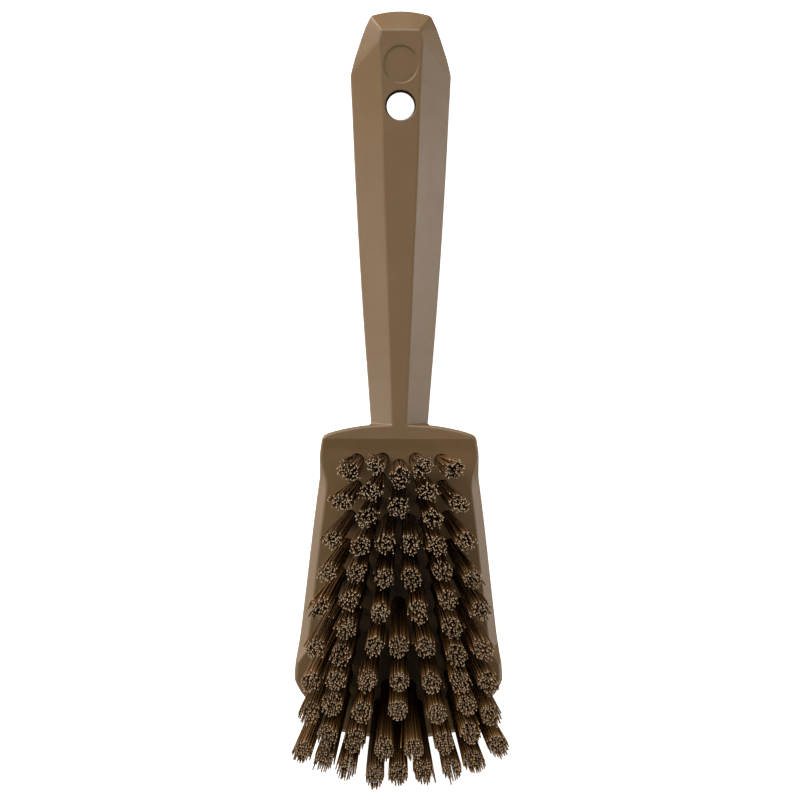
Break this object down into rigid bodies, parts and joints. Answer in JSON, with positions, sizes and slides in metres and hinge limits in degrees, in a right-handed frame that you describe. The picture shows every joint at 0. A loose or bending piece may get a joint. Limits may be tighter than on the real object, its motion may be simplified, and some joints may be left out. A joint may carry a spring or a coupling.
{
  "type": "hand scrub brush",
  "caption": "Hand scrub brush: one-piece faceted plastic handle and head with a hanging hole, and stiff filament tufts that fan forward from drilled holes in the head's face.",
  "frame": {"origin": "centre of the brush's box in plan, on the plane of the head's flat back", "axes": "+Y towards the handle's end, +Z out of the bristle side, +X to the right with the bristles up and the handle pointing away"},
  "size_m": [0.0738, 0.2706, 0.0648],
  "materials": {
    "body": "brown semi-gloss moulded polypropylene with a fine moulded grain",
    "bristle": "stiff dark brown polyester filament, glossy along the sides, pale cut ends",
    "anchor": "flat stainless wire"
  },
  "bodies": {
    "root": {"brush_body": "body", "tufts_outer_left_rear": "bristle", "tufts_outer_left_mid": "bristle", "tufts_outer_left_front": "bristle", "tufts_second_left_rear": "bristle", "tufts_second_left_mid": "bristle", "tufts_second_left_front": "bristle", "tufts_inner_left_rear": "bristle", "tufts_inner_left_front": "bristle", "tufts_outer_right_rear": "bristle", "tufts_outer_right_mid": "bristle", "tufts_outer_right_front": "bristle", "tufts_second_right_rear": "bristle", "tufts_second_right_mid": "bristle", "tufts_second_right_front": "bristle", "tufts_inner_right_rear": "bristle", "tufts_inner_right_front": "bristle", "tufts_centre_rear": "bristle", "tufts_centre_mid": "bristle", "tufts_centre_front_pair": "bristle", "tufts_centre_front_row": "bristle", "anchors_outer_left_rear": "anchor", "anchors_outer_left_mid": "anchor", "anchors_outer_left_front": "anchor", "anchors_second_left_rear": "anchor", "anchors_second_left_mid": "anchor", "anchors_second_left_front": "anchor", "anchors_inner_left_rear": "anchor", "anchors_inner_left_front": "anchor", "anchors_outer_right_rear": "anchor", "anchors_outer_right_mid": "anchor", "anchors_outer_right_front": "anchor", "anchors_second_right_rear": "anchor", "anchors_second_right_mid": "anchor", "anchors_second_right_front": "anchor", "anchors_inner_right_rear": "anchor", "anchors_inner_right_front": "anchor", "anchors_centre_rear": "anchor", "anchors_centre_mid": "anchor", "anchors_centre_front_pair": "anchor", "anchors_centre_front_row": "anchor"}
  },
  "joints": []
}
